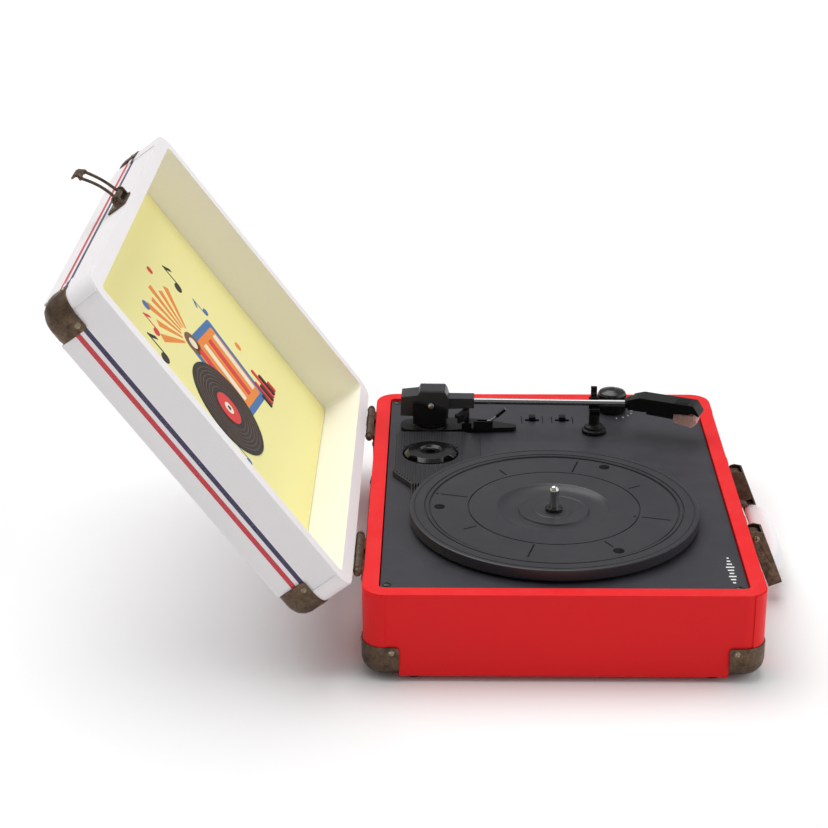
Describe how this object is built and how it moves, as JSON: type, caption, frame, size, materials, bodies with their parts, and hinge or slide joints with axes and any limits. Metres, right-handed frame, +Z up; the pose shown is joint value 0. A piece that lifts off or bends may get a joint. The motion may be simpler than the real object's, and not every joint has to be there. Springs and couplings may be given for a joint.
{
  "type": "suitcase record player",
  "caption": "Portable belt-drive record player in a red suitcase with a hinged white lid, bronze corners, tonearm, controls and a carrying handle.",
  "frame": {"origin": "middle of the flat underside of the bottom board, at the case's plan centre", "axes": "+X along the case to the tonearm side, +Y from the handle to the hinges, +Z up; the lid stands open"},
  "size_m": [0.359, 0.5041, 0.3015],
  "materials": {
    "red_cover": "red grained leatherette over the wooden base",
    "white_cover": "white grained leatherette over the wooden lid",
    "yellow_liner": "matt printed liner",
    "hardboard": "raw hardboard",
    "charcoal": "satin charcoal moulding",
    "black_plastic": "satin black moulding",
    "black_gloss": "polished black",
    "black_rubber": "moulded rubber",
    "bronze": "antique bronze plate, mottled",
    "chrome": "polished chrome plate",
    "brass": "turned brass",
    "steel": "bright steel",
    "paper_cone": "pressed paper cone in a black basket",
    "circuit_board": "green laminate with parts",
    "white_grip": "white moulded grip",
    "stylus_clear": "clear pink plastic"
  },
  "bodies": {
    "case": {"base_shell": "red_cover", "bottom_panel": "hardboard", "deck_plate": "charcoal", "ribbed_plinth": "charcoal", "bearing_bush": "brass", "motor": "steel", "drive_belt": "black_rubber", "tonearm_base": "black_plastic", "arm_rest": "black_plastic", "amplifier_board": "circuit_board", "jack_plate": "black_plastic", "power_inlet": "black_plastic", "audio_sockets": "chrome", "latch_catch": "bronze", "speaker_left": "paper_cone", "speaker_grille_left": "black_plastic", "hinge_base_leaf_left": "bronze", "handle_bracket_left": "bronze", "foot_front_left": "black_rubber", "base_corner_front_left": "bronze", "foot_back_left": "black_rubber", "base_corner_back_left": "bronze", "speaker_right": "paper_cone", "speaker_grille_right": "black_plastic", "hinge_base_leaf_right": "bronze", "handle_bracket_right": "bronze", "foot_front_right": "black_rubber", "base_corner_front_right": "bronze", "foot_back_right": "black_rubber", "base_corner_back_right": "bronze"},
    "lid": {"lid_shell": "white_cover", "lid_liner": "yellow_liner", "latch_plate": "bronze", "hinge_lid_leaf_left": "bronze", "hinge_lid_leaf_right": "bronze", "lid_corner_front_left": "bronze", "lid_corner_front_right": "bronze", "lid_corner_back_left": "bronze", "lid_corner_back_right": "bronze"},
    "latch_bail": {"latch_bail": "bronze"},
    "platter": {"platter": "charcoal", "spindle": "chrome"},
    "motor_pulley": {"motor_pulley": "brass"},
    "tonearm_turret": {"tonearm_turret": "black_plastic"},
    "tonearm": {"tonearm_block": "black_plastic", "tonearm_tube": "chrome", "headshell": "black_plastic", "cartridge": "black_plastic"},
    "stylus_guard": {"stylus_guard": "stylus_clear"},
    "cue_lever": {"cue_lever": "steel"},
    "cue_lift": {"cue_lift": "black_plastic"},
    "arm_clip": {"arm_clip": "black_plastic"},
    "volume_knob": {"volume_knob": "black_plastic"},
    "speed_switch": {"speed_switch": "black_plastic"},
    "autostop_switch": {"autostop_switch": "black_plastic"},
    "adapter_45": {"adapter_45": "black_gloss"},
    "handle": {"handle_grip": "white_grip", "handle_cap_left": "bronze", "handle_cap_right": "bronze"}
  },
  "joints": [
    {"name": "lid_hinge", "type": "hinge", "parent": "case", "child": "lid", "pos_m": [0, 0.1378, 0.0604], "axis": [-1, 0, 0], "range_deg": [-126.6, 0]},
    {"name": "latch_bail_hinge", "type": "hinge", "parent": "lid", "child": "latch_bail", "pos_m": [0, 0.30747, 0.2798], "axis": [-1, 0, 0], "range_deg": [-112, 0]},
    {"name": "platter_spin", "type": "hinge", "parent": "case", "child": "platter", "pos_m": [-0.0565, 0.002, 0.06], "axis": [0, 0, 1], "continuous": true},
    {"name": "motor_pulley_spin", "type": "hinge", "parent": "case", "child": "motor_pulley", "pos_m": [-0.13167, -0.02536, 0.06], "axis": [0, 0, 1], "continuous": true},
    {"name": "tonearm_swing", "type": "hinge", "parent": "case", "child": "tonearm_turret", "pos_m": [0.109, 0.09, 0.0825], "axis": [0, 0, -1], "range_deg": [0, 44]},
    {"name": "tonearm_lift", "type": "hinge", "parent": "tonearm_turret", "child": "tonearm", "pos_m": [0.109, 0.09, 0.0825], "axis": [-0.9996, 0.0297, 0], "range_deg": [0, 6]},
    {"name": "stylus_guard_slide", "type": "slide", "parent": "tonearm", "child": "stylus_guard", "axis": [-0.3535, -0.9354, 0], "range_m": [0, 0.02]},
    {"name": "cue_lever_turn", "type": "hinge", "parent": "case", "child": "cue_lever", "pos_m": [0.1018, 0.045, 0.0672], "axis": [1, 0, 0], "range_deg": [0, 35]},
    {"name": "cue_lift_slide", "type": "slide", "parent": "case", "child": "cue_lift", "axis": [0, 0, -1], "range_m": [0, 0.0033]},
    {"name": "arm_clip_turn", "type": "hinge", "parent": "case", "child": "arm_clip", "pos_m": [0.11283, -0.03694, 0.0864], "axis": [0, -1, 0], "range_deg": [0, 88]},
    {"name": "volume_knob_turn", "type": "hinge", "parent": "case", "child": "volume_knob", "pos_m": [0.147, -0.054, 0.07], "axis": [0, 0, -1], "range_deg": [0, 280]},
    {"name": "speed_switch_slide", "type": "slide", "parent": "case", "child": "speed_switch", "axis": [0, 1, 0], "range_m": [-0.003, 0.003]},
    {"name": "autostop_switch_slide", "type": "slide", "parent": "case", "child": "autostop_switch", "axis": [0, 1, 0], "range_m": [-0.003, 0.003]},
    {"name": "adapter_lift_out", "type": "slide", "parent": "case", "child": "adapter_45", "axis": [0, 0, 1], "range_m": [0, 0.03]},
    {"name": "handle_swing", "type": "hinge", "parent": "case", "child": "handle", "pos_m": [0, -0.1418, 0.045], "axis": [-1, 0, 0], "range_deg": [0, 63]}
  ],
  "couplings": [
    {"joint": "motor_pulley_spin", "follows": "platter_spin", "ratio": 12.03},
    {"joint": "cue_lift_slide", "follows": "cue_lever_turn", "m_per_rad": 0.00524}
  ]
}
